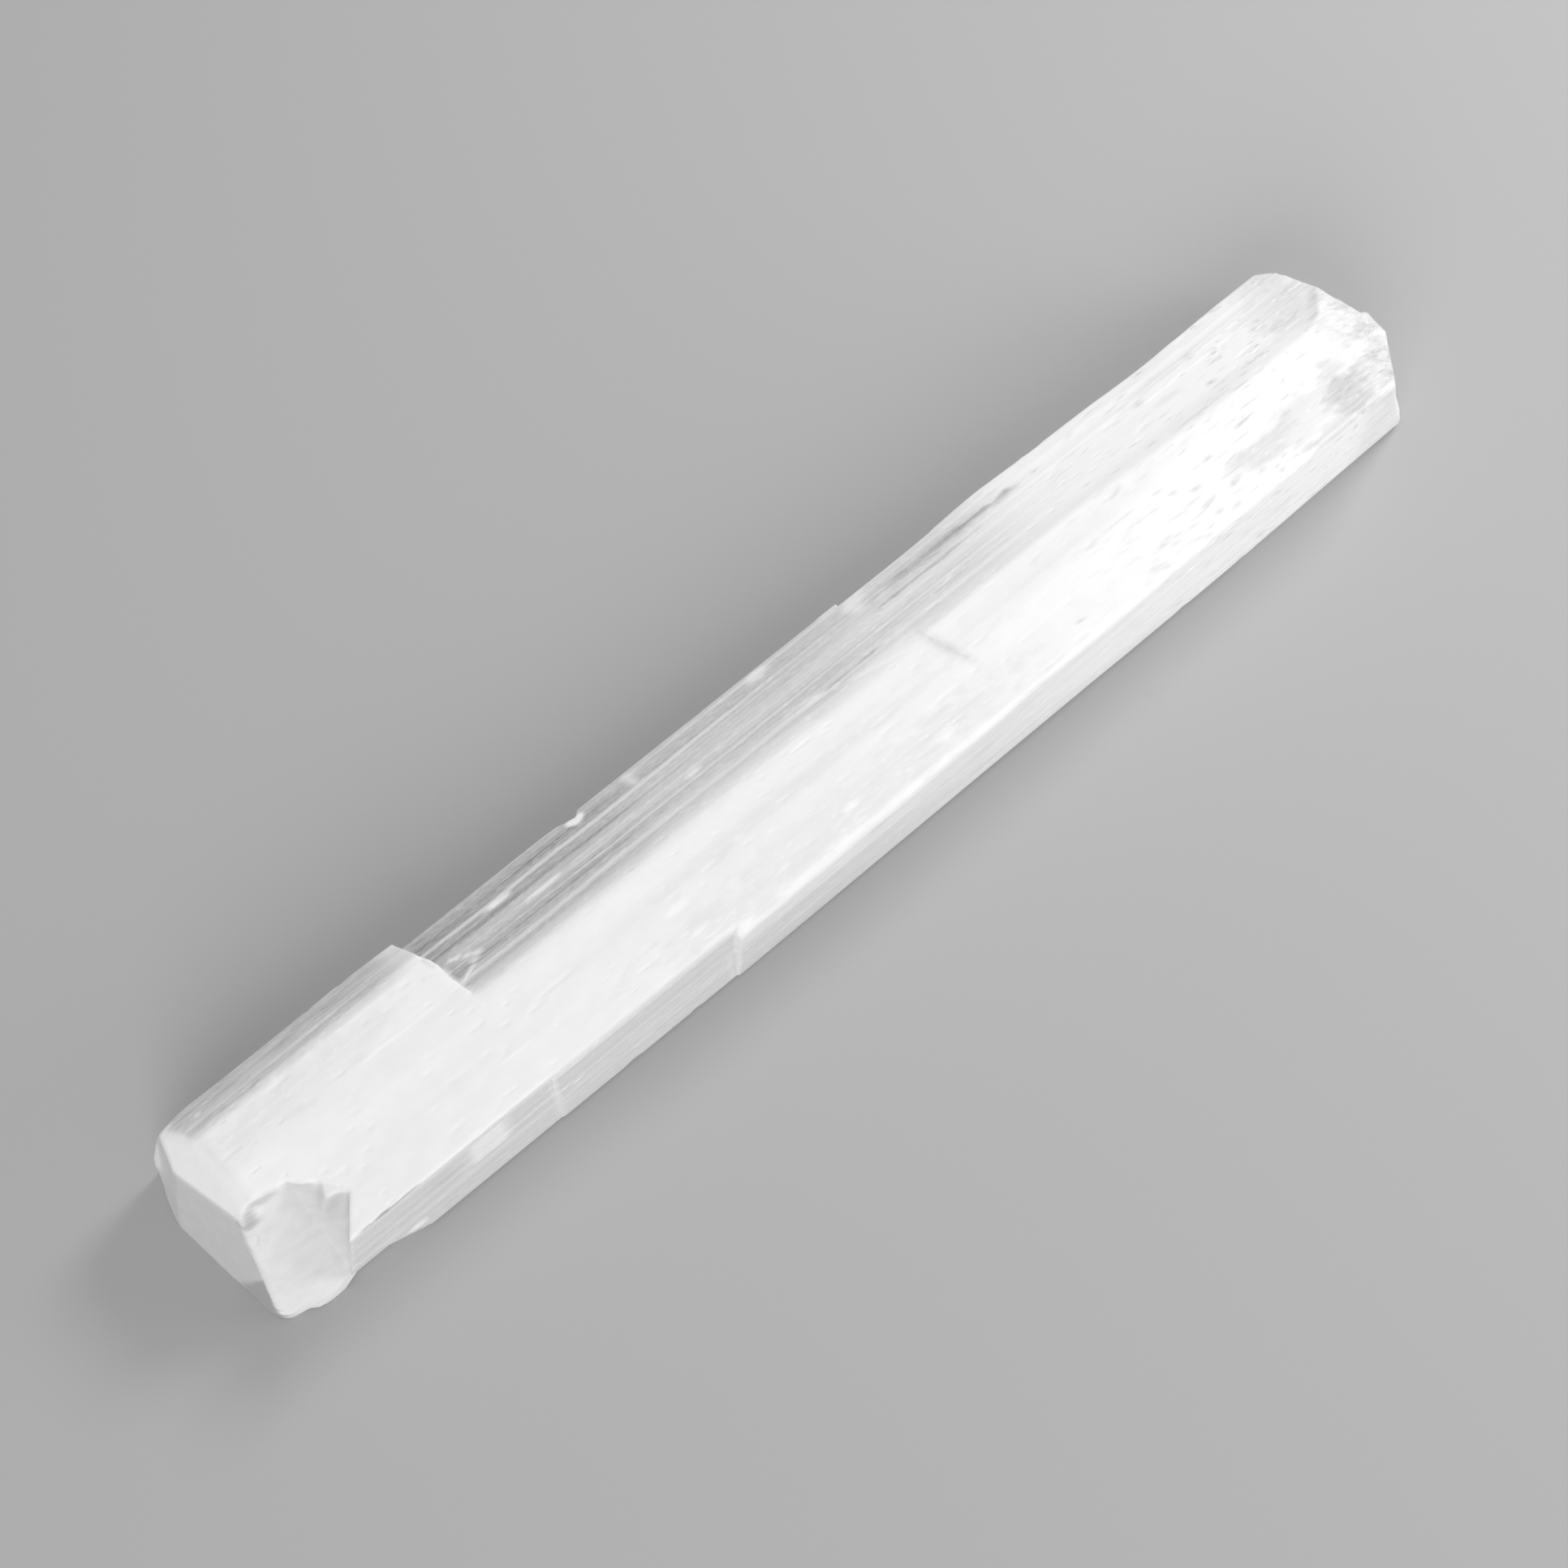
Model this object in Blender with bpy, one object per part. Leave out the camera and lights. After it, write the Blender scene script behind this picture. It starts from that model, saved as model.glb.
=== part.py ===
"""A selenite wand: one rough stick of fibrous gypsum, lying on its flat underside.

The stick lies along X, with its chipped and bevelled end at -X. The origin is on the surface that it
rests on, under the middle of the stick. Every flat of the stick is a cleavage plane. The stick starts
as a lumpy bar, is cleaved to its ends by whole planes, and loses a splinter wherever two or three
planes meet inside it.
"""

import math

import bmesh
import bpy
from mathutils import Vector

MM = 0.001

# Driving dimensions of the bar, in millimetres
HEIGHT = 18.0
MIDDLE_HEIGHT = HEIGHT / 2
BLANK_HALF_LENGTH = 104.0
BLANK_SINK = 1.0
SPLINTER_REACH = 150.0

# Sides of the bar in its cross-section, in order around it: the angle that each faces, from +Y
# towards +Z, its distance from the middle of the section, and how many strips it is drawn with
BAR_SIDES = (
    ("back", -2.0, 14.6, 5),
    ("back_bevel", 52.7, 12.95, 4),
    ("top", 90.0, HEIGHT - MIDDLE_HEIGHT, 9),
    ("front_shoulder", 135.0, 15.8, 1),
    ("front", 180.0, 14.45, 6),
    ("front_foot", 225.0, 16.5, 1),
    ("underside", 270.0, MIDDLE_HEIGHT + BLANK_SINK, 4),
    ("back_foot", 312.0, 16.3, 1),
)
RINGS = 40
LUMP_HEIGHT = 0.17
LUMP_WAVES = ((1.0, 31.0, 0.4), (0.6, 17.0, 2.1), (0.35, 7.5, 4.4))
LUMP_TURN = 1.9

# Planes that cleave the whole bar: a point on the plane, and the way that it faces
WHOLE_PLANES = {
    "resting_face": ((0.0, 0.0, 0.0), (0.0, 0.0, -1.0)),
    "chamfer": ((-93.4, -0.4, 15.5), (-0.799, 0.020, 0.601)),
    "near_end": ((-96.1, 3.2, 8.1), (-0.956, -0.113, 0.270)),
    "near_end_corner": ((-95.9, 10.0, 10.0), (-0.944, 0.247, 0.217)),
    "near_end_foot": ((-97.6, -3.7, 0.2), (-0.955, -0.140, 0.250)),
    "near_end_heel": ((-96.3, -10.6, 0.0), (-0.69, -0.72, 0.12)),
    "near_end_back": ((-92.9, 14.4, 13.6), (-0.168, 0.956, 0.242)),
    "front_taper": ((48.0, -13.75, 0.0), (0.020, -1.0, 0.03)),
    "far_tip": ((98.5, -2.3, 14.0), (1.0, -0.07, 0.10)),
    "far_corner": ((92.6, 11.5, 14.0), (0.60, 0.77, 0.20)),
    "far_top": ((91.5, 0.0, 18.0), (0.42, 0.0, 0.91)),
}

# Splinters that the bar has lost: each is the space in front of all of its planes
LEDGE = ((-53.45, 1.6, HEIGHT), (0.965, 0.261, 0.0))
SPLINTERS = {
    "clear_bevel": (LEDGE, ((0.0, 1.2, HEIGHT), (0.0, 0.37, 0.93))),
    "bevel_scoop": (((2.1, 3.3, HEIGHT), (0.84, 0.54, 0.0)), ((0.0, 1.1, 17.77), (0.0, 0.37, 0.93)),
                    ((2.3, 4.7, HEIGHT), (-0.25, -0.97, 0.0))),
    "back_plate": (LEDGE, ((0.0, 13.4, 9.0), (0.001, 1.0, -0.035))),
    "back_step": (((16.3, 13.0, 9.0), (0.97, -0.25, 0.0)), ((16.3, 12.85, 9.0), (0.002, 1.0, -0.035))),
    "back_nick": (((-31.0, 13.4, 9.0), (0.24, 0.97, 0.0)), ((-27.6, 13.4, 9.0), (-0.80, 0.60, 0.0)),
                  ((0.0, 0.0, 7.0), (0.0, 0.0, 1.0))),
    "low_top": (((21.1, 0.7, HEIGHT), (-0.957, -0.290, 0.0)), ((21.1, -5.6, HEIGHT), (0.0135, 0.085, 1.0))),
    "front_plate": (((-53.2, -13.0, 9.0), (-0.95, 0.30, 0.0)), ((0.0, -13.2, 9.0), (0.002, -1.0, 0.04))),
    "front_step": (((-23.7, -13.5, 9.0), (-0.94, 0.34, 0.0)), ((0.0, -13.5, 9.0), (0.0, -1.0, 0.02))),
    "front_foot": (((-10.0, -14.0, 4.0), (0.006, -1.0, -0.07)),),
    "far_shoulder": (((60.0, -12.2, HEIGHT), (0.02, -0.60, 0.80)),),
    "chip": (((-86.3, -1.7, HEIGHT), (-0.117, -0.858, 0.54)),
             ((-81.0, -7.7, HEIGHT), (-0.717, -0.589, 0.373)),
             ((-81.0, -8.0, HEIGHT), (-0.787, 0.610, 0.096))),
    "spall": (((-86.9, -12.0, 0.0), (1.0, 0.0, 0.0)), ((-79.8, -12.0, 0.0), (0.0, -1.0, -0.20)),
              ((-78.5, -12.05, 0.0), (-0.30, -0.90, -0.32))),
    "far_back": (((93.8, 9.6, 14.0), (0.942, 0.310, 0.171)), ((0.0, -1.2, 0.0), (0.0, 1.0, 0.0))),
    "far_front": (((97.45, -6.1, 14.0), (0.81, -0.55, 0.19)), ((0.0, -5.4, 0.0), (0.0, -1.0, 0.0))),
}
WELD_DISTANCE = 0.03

SATIN_SPAR_COLOUR = (0.86, 0.86, 0.85, 1.0)
SATIN_SPAR_ROUGHNESS = 0.42


def lump(angle, along):
    """How far the bar's skin stands out at one place: long low waves that change from side to side."""
    return LUMP_HEIGHT * sum(
        size * math.sin(along / length + shift + LUMP_TURN * math.sin(3 * angle + shift))
        for size, length, shift in LUMP_WAVES
    )


def corner(side, following):
    """Where two sides of the section meet: the point at the right distance in front of both."""
    first, second = math.radians(side[1]), math.radians(following[1])
    turn = math.sin(second - first)
    across = (side[2] * math.sin(second) - following[2] * math.sin(first)) / turn
    up = (following[2] * math.cos(first) - side[2] * math.cos(second)) / turn
    return Vector((across, up))


def section_ring(along):
    """The bar's section at one place along it: points evenly along each side, pushed out by the lumps."""
    ring = []
    for index, side in enumerate(BAR_SIDES):
        start = corner(BAR_SIDES[index - 1], side)
        end = corner(side, BAR_SIDES[(index + 1) % len(BAR_SIDES)])
        for strip in range(side[3]):
            point = start.lerp(end, strip / side[3])
            angle = math.atan2(point.y, point.x)
            point += point.normalized() * lump(angle, along)
            ring.append(Vector((along, point.x, MIDDLE_HEIGHT + point.y)) * MM)
    return ring


def make_bar():
    """Loft the bar: rings of points along the stick, bridged and capped."""
    bar = bmesh.new()
    places = [BLANK_HALF_LENGTH * (2 * ring / (RINGS - 1) - 1) for ring in range(RINGS)]
    rings = [[bar.verts.new(point) for point in section_ring(along)] for along in places]
    for first, second in zip(rings, rings[1:]):
        for step in range(len(first)):
            after = (step + 1) % len(first)
            bar.faces.new((first[step], first[after], second[after], second[step]))
    bar.faces.new(rings[0])
    bar.faces.new(rings[-1])
    bmesh.ops.recalc_face_normals(bar, faces=bar.faces[:])
    return bar


def cleave(solid, point, facing):
    """Cut the solid along a plane, drop what is in front of it, and close the cut with one face."""
    everything = solid.verts[:] + solid.edges[:] + solid.faces[:]
    bmesh.ops.bisect_plane(solid, geom=everything, dist=1e-7, plane_co=Vector(point) * MM,
                           plane_no=Vector(facing).normalized(), clear_outer=True)
    rim = [edge for edge in solid.edges if edge.is_boundary]
    bmesh.ops.holes_fill(solid, edges=rim, sides=0)


def to_object(solid, name):
    mesh = bpy.data.meshes.new(name)
    solid.to_mesh(mesh)
    solid.free()
    made = bpy.data.objects.new(name, mesh)
    bpy.context.collection.objects.link(made)
    return made


def make_splinter(name, planes):
    """A closed cutter that fills the space in front of all the planes, as far as the bar reaches."""
    block = bmesh.new()
    bmesh.ops.create_cube(block, size=2 * SPLINTER_REACH * MM)
    for point, facing in planes:
        cleave(block, point, -Vector(facing))
    splinter = to_object(block, name)
    splinter.hide_render = True
    splinter.display_type = "WIRE"
    return splinter


def satin_spar():
    material = bpy.data.materials.new("satin_spar")
    material.use_nodes = True
    shader = material.node_tree.nodes["Principled BSDF"]
    shader.inputs["Base Color"].default_value = SATIN_SPAR_COLOUR
    shader.inputs["Roughness"].default_value = SATIN_SPAR_ROUGHNESS
    shader.inputs["Metallic"].default_value = 0.0
    return material


def make_stick():
    bar = make_bar()
    for point, facing in WHOLE_PLANES.values():
        cleave(bar, point, facing)
    bmesh.ops.recalc_face_normals(bar, faces=bar.faces[:])
    stick = to_object(bar, "selenite_stick")
    stick.data.materials.append(satin_spar())
    for name, planes in SPLINTERS.items():
        cut = stick.modifiers.new(name, "BOOLEAN")
        cut.operation = "DIFFERENCE"
        cut.object = make_splinter(f"{name}_cutter", planes)
    weld = stick.modifiers.new("weld", "WELD")
    weld.merge_threshold = WELD_DISTANCE * MM
    return stick


for old in list(bpy.data.objects):
    bpy.data.objects.remove(old)
make_stick()
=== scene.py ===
# %% [markdown]
# # A selenite wand
# This lesson dresses one rough stick of satin spar, the fibrous kind of selenite. The real thing is a bundle
# of gypsum fibres that grew side by side across a vein. It splits along the fibres into long flats and
# splinters, and it breaks off short at its ends. The solid model already has the flats, ledges and broken
# corners. Here they get what a solid with few faces can't carry: fibre ridges, splinter steps, a shell-like
# chip, and a body that is milky where the fibres are dense and grey where they are clear.

# %% Load the frame, bake each part's place into its mesh, and drop all but the meshes
import math

import bpy
import numpy as np
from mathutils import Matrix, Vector


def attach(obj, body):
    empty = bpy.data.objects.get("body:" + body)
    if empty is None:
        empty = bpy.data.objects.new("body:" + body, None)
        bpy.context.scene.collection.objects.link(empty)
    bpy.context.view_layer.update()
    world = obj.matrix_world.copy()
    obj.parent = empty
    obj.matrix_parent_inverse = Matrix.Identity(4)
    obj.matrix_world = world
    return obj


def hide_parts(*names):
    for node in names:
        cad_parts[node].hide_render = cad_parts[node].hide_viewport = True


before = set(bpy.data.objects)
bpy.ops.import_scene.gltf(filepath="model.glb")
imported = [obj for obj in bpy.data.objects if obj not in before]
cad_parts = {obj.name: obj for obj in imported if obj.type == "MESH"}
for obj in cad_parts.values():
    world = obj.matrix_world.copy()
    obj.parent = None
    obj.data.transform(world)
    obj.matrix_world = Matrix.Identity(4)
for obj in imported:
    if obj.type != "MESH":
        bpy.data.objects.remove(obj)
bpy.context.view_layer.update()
NODE = "selenite_stick"
MM = 0.001

# %% [markdown]
# ## The camera
# The stick is photographed from above and a little to its front left, from close by, so that it crosses the
# square frame from the lower left corner to the upper right. The camera could be placed by trial, but a
# direction, a distance and a point to look at say the same thing in words that can be checked.

# %% Place the camera
CAMERA_AZIMUTH = math.radians(-40.7)
CAMERA_ELEVATION = math.radians(70.0)
CAMERA_DISTANCE = 460 * MM
CAMERA_AIM = Vector((-4.05, 0.0, 9.0)) * MM
FOCAL_LENGTH_IN_PIXELS = 4370
PICTURE_SIZE = 1932
SENSOR_WIDTH = 36.0

towards_camera = Vector((
    math.sin(CAMERA_AZIMUTH) * math.cos(CAMERA_ELEVATION),
    -math.cos(CAMERA_AZIMUTH) * math.cos(CAMERA_ELEVATION),
    math.sin(CAMERA_ELEVATION),
))
camera_data = bpy.data.cameras.new("camera")
camera_data.sensor_width = SENSOR_WIDTH
camera_data.lens = FOCAL_LENGTH_IN_PIXELS / PICTURE_SIZE * SENSOR_WIDTH
camera = bpy.data.objects.new("camera", camera_data)
bpy.context.collection.objects.link(camera)
camera.location = CAMERA_AIM + CAMERA_DISTANCE * towards_camera
camera.rotation_mode = "QUATERNION"
camera.rotation_quaternion = (-towards_camera).to_track_quat("-Z", "Y")
bpy.context.scene.camera = camera
print("lens", round(camera_data.lens, 1), "mm")

# %% [markdown]
# ## The flats of the stick
# Gypsum breaks along planes, so the stick is described by planes, in millimetres. The bar that it was split
# from has eight long sides. Whole planes cut its ends. A splinter that broke away leaves the space in front
# of one, two or three planes at once. These are the design values of the solid model, so the fine surface
# stays on it; only the spall beside the chip starts 0.4 mm nearer the end. Each plane also says what kind of
# break it is, which later decides how rough it looks. Booleans on a copy of the solid could make the same
# flats, but planes can also be asked how far away a point is, and the later steps live on that.

# %% Sides of the bar
# In order around the section: the angle that each side faces, from +Y towards +Z, its distance from the
# middle of the section, and how many points of the net it gets
HEIGHT = 18.0
MIDDLE_HEIGHT = HEIGHT / 2
BAR_SIDES = (
    ("back", -2.0, 14.6, 40),
    ("back_bevel", 52.7, 12.95, 28),
    ("top", 90.0, HEIGHT - MIDDLE_HEIGHT, 100),
    ("front_shoulder", 135.0, 15.8, 8),
    ("front", 180.0, 14.45, 60),
    ("front_foot", 225.0, 16.5, 10),
    ("underside", 270.0, MIDDLE_HEIGHT, 20),
    ("back_foot", 312.0, 16.3, 10),
)
COLUMNS = sum(side[3] for side in BAR_SIDES)
print("points around the stick", COLUMNS)

# %% Planes that cut the whole bar: a point, the way the plane faces, its kind, and how soft its edges are
WHOLE_PLANES = {
    "chamfer": ((-93.4, -0.4, 15.5), (-0.799, 0.020, 0.601), "facet", 1.5),
    "near_end": ((-96.1, 3.2, 8.1), (-0.956, -0.113, 0.270), "facet", 0.10),
    "near_end_corner": ((-95.9, 10.0, 10.0), (-0.944, 0.247, 0.217), "facet", 0.10),
    "near_end_foot": ((-97.6, -3.7, 0.2), (-0.955, -0.140, 0.250), "facet", 0.10),
    "near_end_heel": ((-96.3, -10.6, 0.0), (-0.69, -0.72, 0.12), "facet", 0.7),
    "near_end_back": ((-92.9, 14.4, 13.6), (-0.168, 0.956, 0.242), "facet", 0.4),
    "front_taper": ((48.0, -13.75, 0.0), (0.020, -1.0, 0.03), "split", 0.8),
    "far_tip": ((98.5, -2.3, 14.0), (1.0, -0.07, 0.10), "break", 0.6),
    "far_corner": ((92.6, 11.5, 14.0), (0.60, 0.77, 0.20), "break", 2.0),
    "far_top": ((91.5, 0.0, 18.0), (0.42, 0.0, 0.91), "break", 1.6),
}

# %% Splinters that the bar has lost
# Each has the softness of its edges first, then its planes. It is the space in front of all of them.
LEDGE = ((-53.45, 1.6, HEIGHT), (0.965, 0.261, 0.0), "torn")
SPLINTERS = {
    "clear_bevel": (0.14, LEDGE, ((0.0, 1.2, HEIGHT), (0.0, 0.37, 0.93), "split")),
    "bevel_scoop": (0.5, ((2.1, 3.3, HEIGHT), (0.84, 0.54, 0.0), "wall"),
                    ((0.0, 1.1, 17.77), (0.0, 0.37, 0.93), "split"),
                    ((2.3, 4.7, HEIGHT), (-0.25, -0.97, 0.0), "wall")),
    "back_plate": (0.14, LEDGE, ((0.0, 13.4, 9.0), (0.001, 1.0, -0.035), "split")),
    "back_step": (0.14, ((16.3, 13.0, 9.0), (0.97, -0.25, 0.0), "wall"),
                  ((16.3, 12.85, 9.0), (0.002, 1.0, -0.035), "split")),
    "back_nick": (0.14, ((-31.0, 13.4, 9.0), (0.24, 0.97, 0.0), "facet"),
                  ((-27.6, 13.4, 9.0), (-0.80, 0.60, 0.0), "wall"),
                  ((0.0, 0.0, 7.0), (0.0, 0.0, 1.0), "facet")),
    "low_top": (0.6, ((21.1, 0.7, HEIGHT), (-0.957, -0.290, 0.0), "wall"),
                ((21.1, -5.6, HEIGHT), (0.0135, 0.085, 1.0), "split")),
    "front_plate": (0.5, ((-53.2, -13.0, 9.0), (-0.95, 0.30, 0.0), "wall"),
                    ((0.0, -13.2, 9.0), (0.002, -1.0, 0.04), "split")),
    "front_step": (0.8, ((-23.7, -13.5, 9.0), (-0.94, 0.34, 0.0), "wall"),
                   ((0.0, -13.5, 9.0), (0.0, -1.0, 0.02), "split")),
    "front_foot": (0.14, ((-10.0, -14.0, 4.0), (0.006, -1.0, -0.07), "split")),
    "far_shoulder": (0.14, ((60.0, -12.2, HEIGHT), (0.02, -0.60, 0.80), "split")),
    "chip": (0.40, ((-86.3, -1.7, HEIGHT), (-0.117, -0.858, 0.54), "chip"),
             ((-81.0, -7.7, HEIGHT), (-0.717, -0.589, 0.373), "chip"),
             ((-81.0, -8.0, HEIGHT), (-0.787, 0.610, 0.096), "facet")),
    "spall": (0.14, ((-87.3, -12.0, 0.0), (1.0, 0.0, 0.0), "facet"),
              ((-79.8, -12.0, 0.0), (0.0, -1.0, -0.20), "facet"),
              ((-78.5, -12.05, 0.0), (-0.30, -0.90, -0.32), "wall")),
    "far_back": (0.30, ((93.8, 9.6, 14.0), (0.942, 0.310, 0.171), "break"),
                 ((0.0, -1.2, 0.0), (0.0, 1.0, 0.0), "wall")),
    "far_front": (0.5, ((97.45, -6.1, 14.0), (0.81, -0.55, 0.19), "break"),
                  ((0.0, -5.4, 0.0), (0.0, -1.0, 0.0), "wall")),
}
print("whole planes", len(WHOLE_PLANES), "splinters", len(SPLINTERS))

# %% [markdown]
# ## Noise that can be stretched
# Fibres are long one way and fine the other. A noise that takes two coordinates, each divided by its own
# grain size, gives streaks of any shape. Blender has noise functions too, but they take one point at a time;
# a table of random heights, read with whole arrays, does the same for all points at once.

# %% Helpers for smooth steps and noise
TABLE_SIZE = 256


def ease(low, high, value):
    """0 below low, 1 above high, and three times the square less twice the cube in between."""
    share = np.clip((value - low) / (high - low), 0.0, 1.0)
    return share * share * (3 - 2 * share)


def grain(across, along, seed):
    """Noise from -1 to 1: random heights on a unit lattice, and an eased blend of the four round a point."""
    table = np.random.default_rng(seed).uniform(-1, 1, (TABLE_SIZE, TABLE_SIZE))
    column, row = np.floor(across).astype(int), np.floor(along).astype(int)
    right, up = ease(0, 1, across - column), ease(0, 1, along - row)
    column, row = column % TABLE_SIZE, row % TABLE_SIZE
    next_column, next_row = (column + 1) % TABLE_SIZE, (row + 1) % TABLE_SIZE
    low = table[column, row] * (1 - right) + table[next_column, row] * right
    high = table[column, next_row] * (1 - right) + table[next_column, next_row] * right
    return low * (1 - up) + high * up


def layered(across, along, seed, layers=3):
    """Sum of grains, each twice as fine and half as high as the last, over the sum of their heights."""
    total = sum(grain(across * 2 ** n, along * 2 ** n, seed + n) / 2 ** n for n in range(layers))
    return total / sum(0.5 ** n for n in range(layers))


print("noise at one point", round(float(grain(np.array([0.3]), np.array([0.7]), 1)[0]), 3))

# %% [markdown]
# ## A net drawn round the stick
# The fine surface is a net of two parameters: one runs round the section, the other from one end's middle,
# along the stick, to the other end's middle. Each knot of the net is first put on a plain bar. Later a ray
# from a line inside the stick, the spine, through that knot finds the real surface. The spine starts well
# inside the chipped end, so that its rays meet the chip's walls from the front and not along them. The net's
# rings lean the way the ledges run, and they stand closer where the stick is chipped or stepped.

# %% The ring of points round the plain bar
def corner(side, following):
    """Where two sides of the section meet: the point at the right distance in front of both."""
    first, second = math.radians(side[1]), math.radians(following[1])
    turn = math.sin(second - first)
    across = (side[2] * math.sin(second) - following[2] * math.sin(first)) / turn
    up = (following[2] * math.cos(first) - side[2] * math.cos(second)) / turn
    return np.array((across, up))


ring_parts = []
for index, side in enumerate(BAR_SIDES):
    start = corner(BAR_SIDES[index - 1], side)
    end = corner(side, BAR_SIDES[(index + 1) % len(BAR_SIDES)])
    share = np.arange(side[3])[:, None] / side[3]
    ring_parts.append(start + (end - start) * share)
ring = np.concatenate(ring_parts)
ring_y, ring_z = ring[:, 0], ring[:, 1] + MIDDLE_HEIGHT
ring_angle = np.arctan2(ring[:, 1], ring[:, 0])
ring_girth = np.concatenate(([0.0], np.cumsum(np.linalg.norm(np.diff(ring, axis=0), axis=1))))
print("girth in mm", round(float(ring_girth[-1]), 1))

# %% Places of the rings along the stick
# Each zone has its start, its end and the spacing of its rings, which is closer where there is more to draw.
RING_ZONES = (
    (-97.0, -78.0, 0.34), (-78.0, -60.0, 1.0), (-60.0, -50.0, 0.5), (-50.0, -28.0, 1.1), (-28.0, -22.0, 0.4),
    (-22.0, 16.0, 1.1), (16.0, 25.0, 0.6), (25.0, 78.0, 1.2), (78.0, 96.5, 0.5),
)
FIRST_RING, LAST_RING = RING_ZONES[0][0], RING_ZONES[-1][1]
ring_places = np.concatenate([
    np.arange(first, last - spacing / 2, spacing) for first, last, spacing in RING_ZONES
] + [[LAST_RING]])
LEDGE_LEAN = -0.28
LEAN_FULL_AT, LEAN_ENDS_AT = 62.0, 78.0
PULL_STARTS_AT = 84.0
FAR_TIP_X = 98.2


def x_on_plane(plane, y, z):
    """Where a plane stands along the stick at each y and z: the plane's equation, solved for x."""
    place, facing = plane[:2]
    return place[0] - (facing[1] * (y - place[1]) + facing[2] * (z - place[2])) / facing[0]


def near_end_x(y, z):
    """The near end plane's place along the stick."""
    return x_on_plane(WHOLE_PLANES["near_end"], y, z)


def far_end_x(y, z):
    """The least of the places of the two broken faces at the far end and of the tip."""
    back = x_on_plane(SPLINTERS["far_back"][1], y, z)
    front = x_on_plane(SPLINTERS["far_front"][1], y, z)
    return np.minimum(np.minimum(back, front), FAR_TIP_X)


def side_knots(place, column):
    """Knots on the sides: the ring's place plus its lean times y, pulled onto the end planes at the ends."""
    y, z = ring_y[column], ring_z[column]
    lean = LEDGE_LEAN * (1 - ease(LEAN_FULL_AT, LEAN_ENDS_AT, np.abs(place)))
    x = place + lean * y
    x = x + (1 - ease(FIRST_RING, -PULL_STARTS_AT, place)) * (near_end_x(y, z) - FIRST_RING)
    x = x + ease(PULL_STARTS_AT, LAST_RING, place) * (far_end_x(y, z) - LAST_RING)
    return np.stack([x, y, z], axis=-1)


# %% Knots of the two end faces
NEAR_CAP_RINGS = 34
FAR_CAP_RINGS = 26
SPINE_START, SPINE_END = -70.0, 84.0
SPINE_HEIGHT = 8.2
columns = np.arange(COLUMNS)


def cap_knots(rings, end_x):
    """Rings of an end face: the section shrunk towards its middle, each point slid onto the end plane."""
    share = (np.arange(rings)[:, None] + 1) / (rings + 1)
    y = share * ring_y[None, :]
    z = SPINE_HEIGHT + share * (ring_z[None, :] - SPINE_HEIGHT)
    return np.stack([end_x(y, z), y, z], axis=-1).reshape(-1, 3)


def pole_knot(end_x):
    """The middle of an end face."""
    return np.array([[end_x(0.0, SPINE_HEIGHT), 0.0, SPINE_HEIGHT]])


near_cap = np.concatenate([pole_knot(near_end_x), cap_knots(NEAR_CAP_RINGS, near_end_x)])
far_cap = np.concatenate([pole_knot(far_end_x), cap_knots(FAR_CAP_RINGS, far_end_x)])
print("side rings", len(ring_places), "end rings", NEAR_CAP_RINGS, "and", FAR_CAP_RINGS)

# %% [markdown]
# ## Roughness of each kind of break
# A split along the fibres shows ridges as long as a finger and finer than a millimetre, and thin plates
# whose edges run along the stick. A facet across the fibres is almost smooth. A chip is shell-like, in low
# waves. A wall where a splinter tore off is jagged. Each is a height, in millimetres. Bump in the material
# could fake it, but then the outline and the exported mesh would be smooth.

# %% Lumps, ridges, plates and pits on the splits
# Waves: size, length and shift. Ridges and plates: height, width, length and seed.
LUMP_HEIGHT = 0.17
LUMP_WAVES = ((1.0, 31.0, 0.4), (0.6, 17.0, 2.1), (0.35, 7.5, 4.4))
LUMP_TURN = 1.9
RIDGES = ((0.014, 0.55, 45.0, 11), (0.030, 1.2, 70.0, 12), (0.050, 2.9, 90.0, 13))
PLATES = ((0.15, 2.3, 44.0, 21), (0.075, 1.1, 27.0, 31))
PLATE_END_JAG, PLATE_END_JAG_WIDTH, PLATE_END_LEAN, PLATE_STAGGER = 0.6, 0.5, 0.2, 7.3
PIT_DEPTH, PIT_WIDTH, PIT_LENGTH, PIT_SEED = 0.09, 0.7, 1.9, 41
PIT_RIM = (0.66, 0.85)
TOP_SHARE, TOP_RIM, FRONT_SHARE = 0.16, 0.3, 0.40


def lump_height(angle, x):
    """Sum of sines along the stick, each shifted by a sine of three times the angle round the section."""
    return LUMP_HEIGHT * sum(
        size * np.sin(x / length + shift + LUMP_TURN * np.sin(3 * angle + shift))
        for size, length, shift in LUMP_WAVES
    )


def plates(girth, x, wide, long, seed):
    """Thin plates side by side, each wide by long, at its own level from 0 to 1, with slightly torn ends."""
    table = np.random.default_rng(seed).uniform(0, 1, (TABLE_SIZE, TABLE_SIZE))
    column = np.floor(girth / wide).astype(int) % TABLE_SIZE
    torn = PLATE_END_JAG * grain(girth / PLATE_END_JAG_WIDTH, 0 * girth, seed + 1) + PLATE_END_LEAN * girth
    row = np.floor((x + torn) / long + PLATE_STAGGER * table[column, 0]).astype(int) % TABLE_SIZE
    return table[column, row]


def split_height(girth, x, y, z):
    """Stretched grains and plates times a share that is low on the top and full on the back, less pits."""
    ridges = sum(height * grain(girth / wide, x / long, seed) for height, wide, long, seed in RIDGES)
    levels = sum(height * plates(girth, x, wide, long, seed) for height, wide, long, seed in PLATES)
    pits = -PIT_DEPTH * ease(*PIT_RIM, grain(girth / PIT_WIDTH, x / PIT_LENGTH, PIT_SEED))
    share = np.where(z > HEIGHT - TOP_RIM, TOP_SHARE, np.where(y < 0, FRONT_SHARE, 1.0))
    return share * (ridges + levels) + pits


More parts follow.
